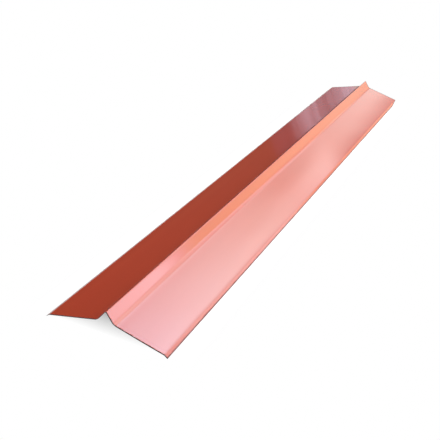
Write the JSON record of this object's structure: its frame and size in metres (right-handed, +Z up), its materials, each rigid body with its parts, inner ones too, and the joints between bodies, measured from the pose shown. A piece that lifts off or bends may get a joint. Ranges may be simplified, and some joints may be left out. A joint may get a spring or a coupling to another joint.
{
  "type": "roof ridge cap",
  "caption": "Long folded sheet-steel ridge cap with a raised crest, two sloping wings and turned-down drip lips, which covers the joint along the top of a pitched roof.",
  "frame": {"origin": "floor level under the middle of the cap, midway between the two lips and midway along the length, as it lies unheld on its lips", "axes": "+Y along the ridge towards the lap end, where the lips are trimmed; +Z up through the crest; +X across the ridge"},
  "size_m": [0.3556, 2.5, 0.0732],
  "materials": {
    "painted_sheet": "satin"
  },
  "bodies": {
    "root": {"ridge_cap": "painted_sheet"}
  },
  "joints": []
}
